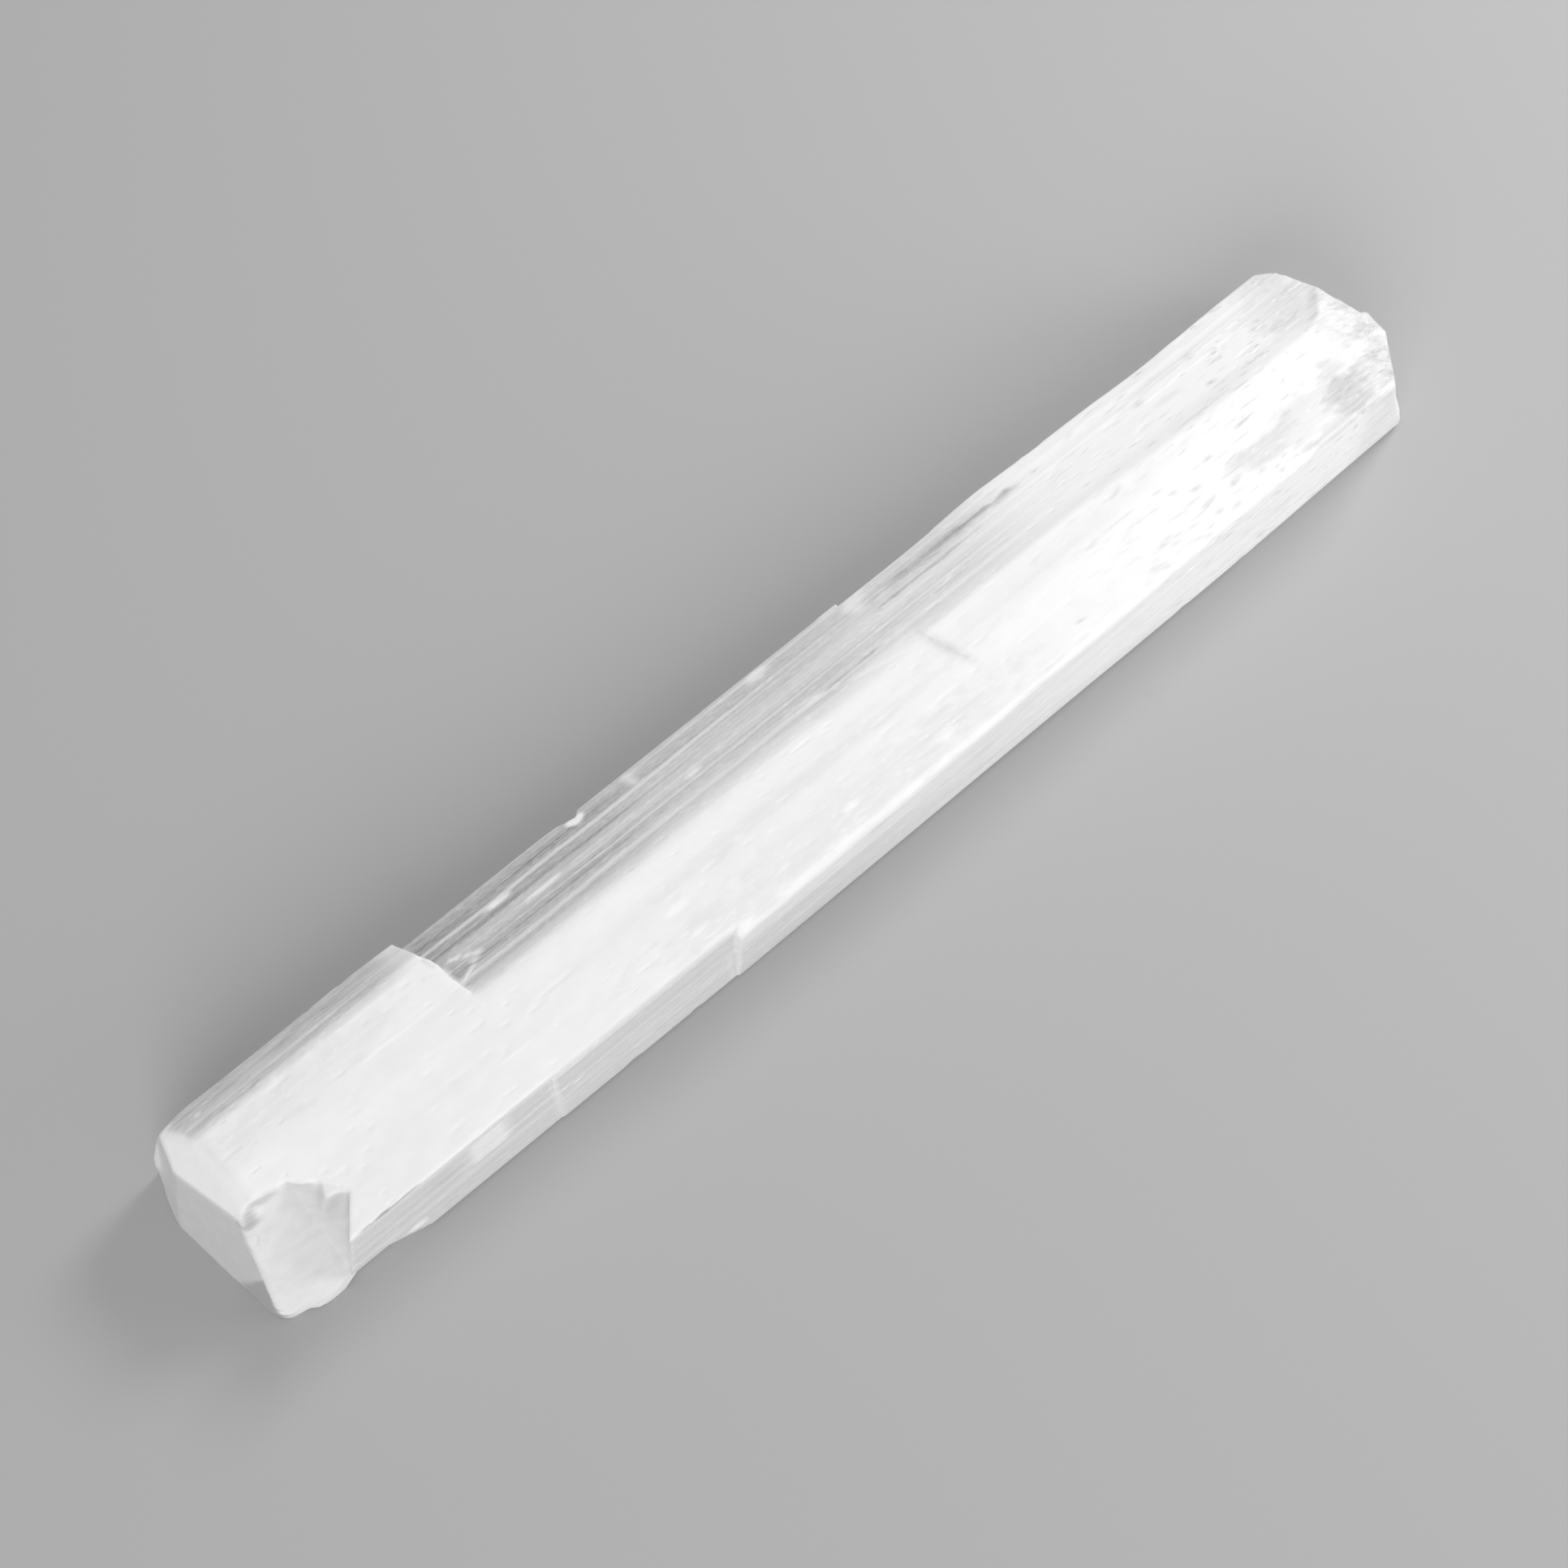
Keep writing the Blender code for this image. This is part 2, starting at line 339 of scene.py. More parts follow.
# %% Noises of the other kinds of break: height, grain size each way, and seed
ROUGHNESS = {
    "facet": ((0.05, 2.2, 2.2, 51), (0.02, 0.5, 0.5, 55)),
    "chip": ((0.14, 3.2, 2.6, 61), (0.03, 0.9, 0.9, 65)),
    "break": ((0.20, 2.6, 3.5, 71), (0.05, 0.9, 1.2, 75)),
    "wall": ((0.12, 2.2, 1.0, 81),),
    "torn": ((0.16, 2.2, 1.0, 83), (0.16, 0.6, 1.0, 85)),
}
CHIP_SLOPE = (0.54, 0.86)
SHELL_CENTRE = (-97.0, 20.0)
SHELL_HEIGHT, SHELL_TURNS, SHELL_BEND = 0.03, 2.2, 1.5
TORN_BUMP_Y, TORN_BUMP_WIDTH, TORN_BUMP_HEIGHT = 8.4, 1.7, 0.5
TORN_RIM, TORN_RIM_HEIGHT = (12.6, 14.2), 0.25


def rough(kind, first, second):
    """Sum of the kind's layered noises, each coordinate divided by its grain size."""
    noises = ROUGHNESS[kind]
    return sum(height * layered(first / wide, second / long, seed) for height, wide, long, seed in noises)


def up_the_chip(y, z):
    """Distance up the slope of the chip's main plane."""
    return CHIP_SLOPE[0] * y + CHIP_SLOPE[1] * z


def chip_height(points):
    """Low lumps and a fine grain, and a sine of the distance from one corner where a noise allows it."""
    x, y, z = points.T
    slope = up_the_chip(y, z)
    from_corner = np.hypot(x - SHELL_CENTRE[0], slope - SHELL_CENTRE[1])
    shell = np.sin(SHELL_TURNS * from_corner + SHELL_BEND * grain(x / 3.0, slope / 3.0, 62))
    shell_share = ease(0.0, 0.7, grain(x / 5.0, slope / 5.0, 63))
    return rough("chip", x, slope) + SHELL_HEIGHT * shell * shell_share


def torn_height(girth, y):
    """The ledge's line wanders, jags finely, and stands out at a bump and at the rim."""
    bump = TORN_BUMP_HEIGHT * np.exp(-((y - TORN_BUMP_Y) / TORN_BUMP_WIDTH) ** 2)
    return rough("torn", girth, 0 * girth) + bump + TORN_RIM_HEIGHT * ease(*TORN_RIM, y)


# %% Swellings and hollows: middle, radii and height
SWELLINGS = {
    "chip": (
        ((-89.5, -8.0, 10.0), (5.0, 4.0, 6.0), 0.9),
        ((-89.6, -12.6, 1.0), (2.2, 3.0, 3.0), 0.45),
        ((-94.4, -3.2, 12.0), (1.8, 1.6, 3.0), -0.7),
        ((-92.4, -1.75, 16.4), (2.4, 0.6, 2.0), -0.5),
        ((-83.2, -6.5, 18.0), (1.2, 0.9, 6.0), 1.3),
        ((-83.4, -4.3, 18.0), (1.2, 1.0, 5.0), -0.7),
    ),
    "facet": (((-95.6, 15.0, 7.0), (2.5, 2.5, 4.5), 0.5), ((-97.0, 13.8, 0.5), (2.5, 1.8, 2.0), -0.45)),
    "lumps": (((-54.0, 14.5, 13.0), (6.0, 3.0, 5.0), -0.35),),
    "break": (((95.0, -12.5, 2.0), (3.0, 3.0, 4.0), 0.5),),
    "split": (((41.0, 13.0, 12.0), (8.0, 3.0, 6.0), 0.3), ((70.0, 13.0, 12.0), (8.0, 3.0, 6.0), -0.35)),
}


def swellings(points, kind):
    """Sum of smooth humps, each its height times e to the minus of the squared distance in its own radii."""
    total = np.zeros(len(points))
    for middle, radii, height in SWELLINGS[kind]:
        away = (points - np.array(middle)) / np.array(radii)
        total += height * np.exp(-np.sum(away * away, axis=1))
    return total


print("swellings", sum(len(group) for group in SWELLINGS.values()))

# %% [markdown]
# ## From planes to one surface
# A point is inside the stick when it is behind every side and whole plane, and not in front of all the
# planes of any splinter. So one number tells how far outside a point is: the largest distance in front of
# any side, or, for a splinter, the smallest of its planes' distances. A soft maximum, which rounds off where
# two distances are nearly equal, wears the edges. Booleans could do the cuts, but not with rough planes and
# worn edges at once.

# %% How far outside the stick each point is
EDGE_WEAR, FAR_WEAR = 0.30, 2.6
WEAR_GROWS = (45.0, 88.0)
NO_RELIEF = {kind: 0.0 for kind in ("lumps", "split", "facet", "chip", "break", "wall", "torn")}


def soft_maximum(first, second, wear):
    """The larger of two, plus a squared overlap over four wears; the overlap is wear less difference."""
    overlap = np.maximum(wear - np.abs(first - second), 0.0)
    return np.maximum(first, second) + overlap * overlap / (4 * wear)


def in_front(points, place, facing):
    """Distance of each point in front of a plane."""
    normal = np.array(facing) / np.linalg.norm(facing)
    return points @ normal - np.dot(place, normal)


def outside(points, relief):
    """How far outside the stick each point is, in millimetres; negative inside."""
    x, y, z = points.T
    wear = EDGE_WEAR + (FAR_WEAR - EDGE_WEAR) * ease(*WEAR_GROWS, x)
    distance = -z
    for name, facing, reach, _ in BAR_SIDES:
        if name != "underside":
            turn = math.radians(facing)
            flat = math.cos(turn) * y + math.sin(turn) * (z - MIDDLE_HEIGHT) - reach
            distance = soft_maximum(distance, flat - relief["lumps"] - relief["split"], wear)
    for place, facing, kind, edge in WHOLE_PLANES.values():
        distance = soft_maximum(distance, in_front(points, place, facing) - relief[kind], edge)
    for edge, *planes in SPLINTERS.values():
        fronts = [in_front(points, place, facing) - relief[kind] for place, facing, kind in planes]
        distance = soft_maximum(distance, np.min(fronts, axis=0), edge)
    return distance


# %% Walk each ray out to the surface by halving
HALVINGS = 20
NEAREST_SHARE = 0.25
FURTHEST_SHARE = 1.2


def walk_out(origins, rays, relief):
    """The share of each ray at which it leaves the stick: the range of shares is halved over and over."""
    inner = np.full(len(rays), NEAREST_SHARE)
    outer = np.full(len(rays), FURTHEST_SHARE)
    for _ in range(HALVINGS):
        middle = (inner + outer) / 2
        is_inside = outside(origins + middle[:, None] * rays, relief) < 0
        inner = np.where(is_inside, middle, inner)
        outer = np.where(is_inside, outer, middle)
    return outer


def find_surface(knots, spine_x, girth, angle):
    """Each ray's point on the surface, and its distance across the stick from the spine. The point is found
    twice: first on smooth planes, then with the roughness that belongs at the first place."""
    origins = np.zeros_like(knots)
    origins[:, 0] = np.clip(spine_x, SPINE_START, SPINE_END)
    origins[:, 2] = SPINE_HEIGHT
    rays = knots - origins
    smooth = origins + walk_out(origins, rays, NO_RELIEF)[:, None] * rays
    x, y, z = smooth.T
    relief = {
        "lumps": lump_height(angle, knots[:, 0]) + swellings(smooth, "lumps"),
        "split": split_height(girth, *knots.T) + swellings(smooth, "split"),
        "facet": rough("facet", y, z) + swellings(smooth, "facet"),
        "chip": chip_height(smooth) + swellings(smooth, "chip"),
        "break": rough("break", y, z - x) + swellings(smooth, "break"),
        "wall": rough("wall", girth, 0 * girth),
        "torn": torn_height(girth, knots[:, 1]),
    }
    share = walk_out(origins, rays, relief)
    points = origins + share[:, None] * rays
    points[:, 2] = np.maximum(points[:, 2], 0.0)
    return points, np.hypot(points[:, 1], points[:, 2] - SPINE_HEIGHT)


# %% [markdown]
# ## Rings that snap to the ledges
# A ledge between two rings would come out as a slanted, stepped edge. So wherever the surface's distance
# from the spine jumps from one ring to the next, the place of the jump is found by halving too, and the two
# knots are moved to either side of it. The alternative, a much finer net, would need millions of faces for
# the same crisp edge.

# %% Trace the sides, find the jumps and move the knots there
JUMP = 0.22
JUMP_HALVINGS = 9
LEDGE_GAP = 0.03
SIDE_RINGS = len(ring_places)
side_columns = np.tile(columns, SIDE_RINGS)
places = np.repeat(ring_places, COLUMNS)


def trace_side(place, column):
    """Surface points and their distances from the spine, for knots on the sides."""
    return find_surface(side_knots(place, column), place, ring_girth[column], ring_angle[column])


reach_grid = trace_side(places, side_columns)[1].reshape(SIDE_RINGS, COLUMNS)
rise = np.abs(np.diff(reach_grid, axis=0))
rivals = np.maximum(np.pad(rise, ((1, 0), (0, 0)))[:-1], np.pad(rise, ((0, 1), (0, 0)))[1:])
jump_ring, jump_column = np.nonzero((rise > JUMP) & (rise > rivals))
before, after = ring_places[jump_ring], ring_places[jump_ring + 1]
low_reach, high_reach = reach_grid[jump_ring, jump_column], reach_grid[jump_ring + 1, jump_column]
for _ in range(JUMP_HALVINGS):
    middle = (before + after) / 2
    middle_reach = trace_side(middle, jump_column)[1]
    is_before = np.abs(middle_reach - low_reach) < np.abs(middle_reach - high_reach)
    before = np.where(is_before, middle, before)
    after = np.where(is_before, after, middle)
place_grid = places.reshape(SIDE_RINGS, COLUMNS).copy()
place_grid[jump_ring, jump_column] = before - LEDGE_GAP
place_grid[jump_ring + 1, jump_column] = after + LEDGE_GAP
side_surface = trace_side(place_grid.ravel(), side_columns)[0]
print("knots moved to a ledge", 2 * len(jump_ring), "of", len(places))

# %% Trace the two end faces
def trace_cap(knots, spine_x):
    """Surface points of an end face, whose rays all start at one end of the spine."""
    count = (len(knots) - 1) // COLUMNS
    girth = np.concatenate([[0.0], np.tile(ring_girth, count)])
    angle = np.concatenate([[0.0], np.tile(ring_angle, count)])
    return find_surface(knots, np.full(len(knots), spine_x), girth, angle)[0]


near_surface = trace_cap(near_cap, SPINE_START)
far_surface = trace_cap(far_cap, SPINE_END)
far_rings = far_surface[1:].reshape(FAR_CAP_RINGS, COLUMNS, 3)[::-1].reshape(-1, 3)
surface = np.concatenate([near_surface[1:], side_surface, far_rings, near_surface[:1], far_surface[:1]])
NET_RINGS = NEAR_CAP_RINGS + SIDE_RINGS + FAR_CAP_RINGS
print("surface from", surface.min(axis=0).round(2), "to", surface.max(axis=0).round(2), "mm")

# %% Build the mesh from the net
# Each four-sided cell is parted along the diagonal whose ends are nearer in distance from the spine, so that
# no triangle bridges the top and the foot of a ledge.
SHARP_EDGE = math.radians(35)
grid = np.arange(NET_RINGS * COLUMNS).reshape(NET_RINGS, COLUMNS)
next_column = np.roll(grid, -1, axis=1)
reach = np.hypot(surface[:, 1], surface[:, 2] - SPINE_HEIGHT)
corners = np.stack([grid[:-1], grid[1:], next_column[1:], next_column[:-1]], axis=-1).reshape(-1, 4)
first_gap = np.abs(reach[corners[:, 0]] - reach[corners[:, 2]])
second_gap = np.abs(reach[corners[:, 1]] - reach[corners[:, 3]])
pick = np.where((first_gap <= second_gap)[:, None, None], [[0, 1, 2], [0, 2, 3]], [[0, 1, 3], [1, 2, 3]])
triangles = np.take_along_axis(corners[:, None, :], pick, axis=2).reshape(-1, 3)
near_pole, far_pole = NET_RINGS * COLUMNS, NET_RINGS * COLUMNS + 1
near_fan = np.stack([np.full(COLUMNS, near_pole), grid[0], next_column[0]], axis=-1)
far_fan = np.stack([np.full(COLUMNS, far_pole), next_column[-1], grid[-1]], axis=-1)
faces = np.concatenate([triangles, near_fan, far_fan])
mesh = bpy.data.meshes.new("selenite_surface")
mesh.from_pydata((surface * MM).tolist(), [], faces.tolist())
mesh.shade_smooth()
mesh.set_sharp_from_angle(angle=SHARP_EDGE)
crystal = bpy.data.objects.new("selenite_crystal", mesh)
bpy.context.collection.objects.link(crystal)
print("crystal", len(mesh.vertices), "vertices,", len(mesh.polygons), "faces")

# %% [markdown]
# ## Where the crystal is clear
# Satin spar is white because light scatters between its fibres. Where the fibres have grown together it
# turns clear, and looks grey. On this stick that is the long bevel behind the ledge, the near bevel, streaks
# down the front, and patches and flecks in the worn far half. A knock does the reverse: it parts the fibres
# and leaves a white bruise. The facets at the near end look into the ends of the fibres, and are an even
# grey. The same numbers also carry painted shade along the step across the top, along the front shoulder,
# at the far tip, in the chip and in the crevice beside it, and painted light on the chamfer and the far
# half.
# Painting all this by hand would tie it to a picture; rules in numbers from 0 to 1, kept on the mesh as
# attributes, follow the surface.

# %% Clearness of the two bevels
# Bands: their place across in y, and how clear. Fades along the long bevel: start, end and what is lost.
BEVEL_BANDS = (
    (13.9, 0.66), (12.1, 0.70), (11.8, 1.12), (11.0, 1.12), (10.7, 0.30), (10.4, 0.25), (10.15, 0.92),
    (8.9, 0.88), (8.7, 0.52), (7.8, 0.52), (6.4, 0.62), (6.15, 0.24), (5.9, 0.80), (4.4, 0.78), (4.1, 0.20),
    (3.8, 0.30), (3.5, 0.50), (3.0, 0.52), (2.7, 0.28), (1.7, 0.26), (1.2, 0.08), (0.2, 0.0),
)
BAND_WANDER = 0.15
BEVEL_CLEAREST = 0.96
BEVEL_FADES = ((-34.0, -14.0, 0.34), (6.0, 18.0, 0.22), (30.0, 50.0, 0.36))
LEDGE_SLOPE = 0.27
LEDGE_EDGE = (-0.4, 0.4)
NEAR_BEVEL_CLEARNESS, NEAR_BEVEL_STREAKS = 0.42, 0.55
NEAR_BEVEL_RIM, NEAR_BEVEL_START, NEAR_BEVEL_END = (8.6, 10.8), (-94.5, -91.0), (0.8, 4.5)
sx, sy, sz = surface.T


def streaky(across, length, width, seed):
    """Layered noise on the surface, whose grain is length along the stick and width across it."""
    return layered(sx / length, across / width, seed)


band_places, band_values = np.array(BEVEL_BANDS[::-1]).T
from_ledge = sx - LEDGE[0][0] + LEDGE_SLOPE * (sy - LEDGE[0][1])
past_ledge = ease(*LEDGE_EDGE, from_ledge)
bevel_fade = np.full(len(surface), BEVEL_CLEAREST)
for start, end, loss in BEVEL_FADES:
    bevel_fade -= loss * ease(start, end, sx)
wandering_y = sy + BAND_WANDER * grain(sx / 9.0, sy / 2.0, 87)
clear_bevel = past_ledge * bevel_fade * np.interp(wandering_y, band_places, band_values)
near_bevel = NEAR_BEVEL_CLEARNESS * (1 - past_ledge) * ease(*NEAR_BEVEL_RIM, sy)
near_bevel = near_bevel * ease(*NEAR_BEVEL_START, sx) * ease(*NEAR_BEVEL_END, -from_ledge)
near_bevel = near_bevel * (1 + NEAR_BEVEL_STREAKS * streaky(sy, 4.0, 0.45, 70))
print("bevels cleared to", round(float(clear_bevel.max()), 2), "and", round(float(near_bevel.max()), 2))

# %% Single clear streaks, one painted shade line, and soft patches: middle, half size along and across, clearness
STREAKS_AND_SHADE_LINE = (
    ((-81.0, 10.2, 17.0), (9.5, 0.45), 0.75), ((-90.0, 13.6, 14.0), (3.0, 0.35), 0.5),
    ((-92.4, 13.0, 14.3), (0.5, 0.4), 0.6), ((-90.4, 13.2, 14.1), (0.6, 0.5), 0.5),
    ((-88.6, 13.4, 14.0), (0.7, 0.5), 0.5), ((-90.6, 9.6, 16.8), (0.5, 0.3), 0.6),
    ((-91.2, 11.6, 15.3), (0.8, 0.25), 0.7), ((-88.1, 11.0, 15.8), (1.2, 0.3), 0.6),
    ((32.0, 10.4, 14.4), (12.5, 0.75), 0.75), ((28.0, 8.8, 15.0), (8.0, 0.25), 0.70),
    ((12.0, 4.2, 17.0), (6.5, 0.35), 0.6), ((8.0, 10.3, 14.5), (12.0, 0.9), 0.42),
    # At -62 along the stick, the thin streak at the front's top edge is painted shade: the shadow line under
    # the front shoulder
    ((-78.3, -13.0, 17.9), (4.8, 0.25), 0.8), ((-62.0, -13.2, 17.9), (6.0, 0.25), 0.8),
    ((-71.0, -13.9, 13.5), (3.6, 2.6), 0.30),
)
SOFT_PATCHES = (
    ((72.5, -8.0, 18.0), (5.5, 1.9), 0.27), ((80.0, -8.2, 18.0), (7.0, 3.2), 0.17),
    ((86.8, -5.2, 17.0), (3.6, 1.8), 0.27), ((91.0, -9.0, 16.5), (6.0, 2.6), 0.62),
    ((87.0, -9.5, 17.5), (4.0, 2.8), 0.50), ((84.0, -11.9, 17.5), (8.0, 1.2), 0.30),
    ((90.0, 7.0, 16.0), (8.0, 4.2), 0.17), ((93.0, -1.3, 16.5), (1.8, 0.7), 0.40),
    ((86.7, 4.4, 17.0), (1.7, 0.6), 0.26), ((66.4, -0.9, 18.0), (1.1, 0.2), 0.5),
    ((76.6, -2.0, 18.0), (0.9, 0.4), 0.2), ((64.9, 8.4, 15.2), (0.8, 0.5), 0.25),
    ((74.0, 3.9, 17.0), (0.5, 0.3), 0.35), ((70.0, 1.4, 18.0), (4.5, 0.2), 0.2),
    ((60.1, -7.6, 18.0), (0.9, 0.3), 0.2), ((68.7, 6.2, 16.0), (1.8, 0.6), 0.15),
    ((43.0, -4.6, 18.0), (3.0, 0.2), 0.3), ((52.8, -5.1, 18.0), (2.6, 0.2), 0.15),
    ((-77.0, 6.6, 18.0), (15.0, 2.6), 0.08), ((-2.0, -3.7, 18.0), (28.0, 1.0), 0.06),
    ((-4.0, -10.4, 18.0), (30.0, 2.8), 0.10), ((37.6, -10.4, 18.0), (0.4, 0.3), 0.25),
    ((54.4, -10.4, 18.0), (0.5, 0.3), 0.25), ((-32.0, -8.2, 18.0), (1.6, 0.3), 0.2),
)
RIM_NOISE = 0.60


def patch(middle, half, strength, soft, seed):
    """An oval on the surface, its rim eaten by a noise: full strength inside, nothing outside."""
    across = np.hypot(sy - middle[1], sz - middle[2]) / half[1]
    away = np.hypot((sx - middle[0]) / half[0], across)
    rim = RIM_NOISE * streaky(sy + sz, 1.8, 0.9, seed)
    return strength * (1 - ease(1 - soft, 1 + soft, away + rim))


def largest_patch(shapes, soft, first_seed):
    """The largest, at each point, of a group of patches."""
    return np.maximum.reduce([patch(*shape, soft, first_seed + n) for n, shape in enumerate(shapes)])


clear_streaks_and_shade_line = largest_patch(STREAKS_AND_SHADE_LINE, soft=0.45, first_seed=90)
soft_patches = largest_patch(SOFT_PATCHES, soft=0.30, first_seed=110)
print("streaks and patches", len(STREAKS_AND_SHADE_LINE) + len(SOFT_PATCHES))

# %% Clearness of the front: an even share that ends half way, and streaks all the way
# A pair of places here and below is where something starts and where it is full.
FRONT_FACE = (12.6, 13.1)
FRONT_CLEARNESS, FRONT_CLEAR_ENDS = 0.24, (-14.0, 26.0)
WHITE_GAP_START, WHITE_GAP_FLOOR = (-26.0, -22.0), (12.0, 13.0)
FRONT_STREAK_CLEARNESS, FRONT_STREAK_EDGE = 0.16, (0.05, 0.5)
on_front = ease(*FRONT_FACE, -sy)
front = FRONT_CLEARNESS * on_front * (1 - ease(*FRONT_CLEAR_ENDS, sx))
front = front * (1 - ease(*WHITE_GAP_START, sx) * ease(*WHITE_GAP_FLOOR, sz))
front_streaks = FRONT_STREAK_CLEARNESS * ease(*FRONT_STREAK_EDGE, streaky(sz, 9.0, 0.5, 68)) * on_front
print("share of points on the front", round(float(on_front.mean()), 3))

# %% Shade along the step across the top
STEP_SHADE, STEP_SHADE_WIDTH = 0.16, 0.5
STEP_START, STEP_END = (-5.6, -4.4), (0.2, 1.4)
step_wall = in_front(surface, *SPLINTERS["low_top"][1][:2])
step_shade = STEP_SHADE * np.exp(-(step_wall / STEP_SHADE_WIDTH) ** 2)
step_shade = step_shade * ease(*STEP_START, sy) * (1 - ease(*STEP_END, sy))
print("step shaded to", round(float(step_shade.max()), 2))

# %% Flecks in the worn far half, and a streaky painted shade at the tip and on its top facet
WORN_FLECK_CLEARNESS, WORN_FLECK_EDGE, WORN_FROM = 0.34, (0.30, 0.60), (30.0, 66.0)
TIP_FROM, TIP_SHADE, TIP_STREAKS = (84.0, 93.0), 0.13, 0.08
FAR_TOP_EDGE, FAR_TOP_FROM, FAR_TOP_SHADE, FAR_TOP_STREAKS = (0.3, 1.2), (82.0, 89.0), 0.30, 0.16


def on_plane(plane, edge):
    """1 within the edge's first distance of one of the stick's planes, eased to 0 at its second."""
    return 1 - ease(*edge, np.abs(in_front(surface, *plane[:2])))


flecks_along = streaky(sy - sz, 1.5, 0.45, 69)
worn_flecks = WORN_FLECK_CLEARNESS * ease(*WORN_FLECK_EDGE, flecks_along) * ease(*WORN_FROM, sx)
tip_streaks = streaky(sy - sz, 2.5, 1.2, 72)
on_far_top = on_plane(WHOLE_PLANES["far_top"], FAR_TOP_EDGE) * ease(*FAR_TOP_FROM, sx)
# Painted shade: the tip, most of all the top facet that faces the key light, is painted greyer
tip_shade = ease(*TIP_FROM, sx) * (TIP_SHADE + TIP_STREAKS * tip_streaks)
tip_shade = tip_shade + on_far_top * (FAR_TOP_SHADE + FAR_TOP_STREAKS * tip_streaks)
print("tip shaded to", round(float(tip_shade.max()), 2))

# %% White bruises, where a knock has broken the fibres apart: middle, half size along and across, whiteness
BRUISES = (
    ((-93.2, 13.6, 14.4), (1.8, 0.45), 0.9), ((-90.2, 12.0, 15.8), (0.9, 0.35), 0.9),
    ((-54.9, 14.3, 12.0), (0.6, 1.0), 0.7), ((-28.4, 12.4, 13.4), (1.7, 0.8), 1.0),
    ((-43.3, 10.0, 14.6), (1.6, 0.35), 0.8), ((-38.0, 7.5, 15.5), (2.6, 0.3), 0.5),
    ((-76.0, -13.2, 4.0), (1.3, 1.0), 1.0), ((-89.6, 12.0, 15.6), (1.6, 0.55), 1.0),
    ((-19.7, 12.2, 13.6), (0.8, 1.1), 0.35), ((1.9, 12.5, 13.5), (1.2, 1.0), 0.45),
    ((-13.5, 6.9, 15.8), (0.9, 0.5), 0.4), ((18.0, 11.9, 13.8), (1.8, 1.2), 0.35),
    ((-49.9, 5.9, 16.2), (0.7, 0.6), 0.6), ((-49.7, -13.4, 10.7), (1.0, 0.25), 0.9),
    ((-40.0, -13.4, 5.2), (2.2, 0.35), 0.9), ((-22.8, -13.4, 11.2), (0.9, 0.8), 1.0),
    ((2.7, -13.4, 5.0), (0.7, 0.4), 0.9), ((4.6, -13.4, 9.2), (1.0, 0.25), 0.9),
    ((30.4, -13.4, 8.0), (0.8, 0.4), 0.8), ((-63.7, 3.6, 18.0), (5.0, 0.2), 0.5),
    ((-54.6, -7.7, 18.0), (2.4, 0.2), 0.5), ((-27.4, -6.3, 18.0), (1.6, 0.6), 0.7),
    ((-26.9, -10.4, 18.0), (2.0, 0.4), 0.6), ((-13.9, -11.1, 18.0), (1.2, 0.4), 0.7),
    ((-2.1, -10.3, 18.0), (1.4, 0.6), 0.7), ((-15.0, -3.6, 18.0), (0.4, 0.8), 0.6),
    ((13.5, -10.8, 18.0), (2.2, 0.6), 0.5),
)
PLATE_START, PLATE_END, PLATE_FOOT, PLATE_TOP = (-66.9, -66.6), (-61.5, -59.8), (9.0, 9.6), (16.6, 17.0)
PLATE_FACE, PLATE_WHITENESS = (12.5, 13.0), 0.75
white_plate = ease(*PLATE_START, sx) * (1 - ease(*PLATE_END, sx))
white_plate = white_plate * ease(*PLATE_FOOT, sz) * (1 - ease(*PLATE_TOP, sz))
white_plate = PLATE_WHITENESS * white_plate * ease(*PLATE_FACE, -sy)
print("bruises", len(BRUISES), "and a white plate on the front")

# %% A crescent scar beside the ledge: two thin lines that part from a tip, by a power of the way along
CRESCENT_TIP_X, CRESCENT_Y, CRESCENT_LENGTH, CRESCENT_HALF_WIDTH = -49.8, 5.95, 3.4, 1.9
CRESCENT_POWER, CRESCENT_LINE, CRESCENT_TIP, CRESCENT_WHITENESS = 0.75, (0.12, 0.34), (0.0, 0.08), 0.55
crescent_share = np.clip((CRESCENT_TIP_X - sx) / CRESCENT_LENGTH, 0.0, 1.0)
crescent_line = CRESCENT_HALF_WIDTH * crescent_share ** CRESCENT_POWER
crescent_away = np.abs(np.abs(sy - CRESCENT_Y) - crescent_line)
crescent = CRESCENT_WHITENESS * (1 - ease(*CRESCENT_LINE, crescent_away))
crescent = crescent * ease(*CRESCENT_TIP, crescent_share) * past_ledge * (crescent_share < 1)
print("crescent", round(float(crescent.max()), 2))

# %% Put clearness, painted shade and bruises together, and add painted light to the far half where it isn't clear
PAINTED_LIGHT_FROM, PAINTED_LIGHT_UNTIL, BELOW_TOP = (12.0, 60.0), (83.0, 91.0), (0.3, 1.2)
TOP_PAINTED_LIGHT, SIDE_PAINTED_LIGHT, CLEAR_SPARES = 0.15, 0.75, 3
bruises_and_painted_light = np.maximum.reduce([largest_patch(BRUISES, soft=0.35, first_seed=130), crescent, white_plate])
clearness_and_shade = np.maximum.reduce([
    clear_bevel, near_bevel, clear_streaks_and_shade_line, soft_patches, front, step_shade, front_streaks,
    worn_flecks, tip_shade,
])
clearness_and_shade = clearness_and_shade * (1 - bruises_and_painted_light)
# Painted light: the far half is painted whiter, a little on the top and more below it, ending before the tip
painted_far_light = ease(*PAINTED_LIGHT_FROM, sx) * (TOP_PAINTED_LIGHT + SIDE_PAINTED_LIGHT * ease(*BELOW_TOP, HEIGHT - sz))
painted_far_light = painted_far_light * np.clip(1 - CLEAR_SPARES * clearness_and_shade, 0.0, 1.0)
bruises_and_painted_light = np.maximum(bruises_and_painted_light, painted_far_light * (1 - ease(*PAINTED_LIGHT_UNTIL, sx)))
print("mean clearness", round(float(clearness_and_shade.mean()), 3))

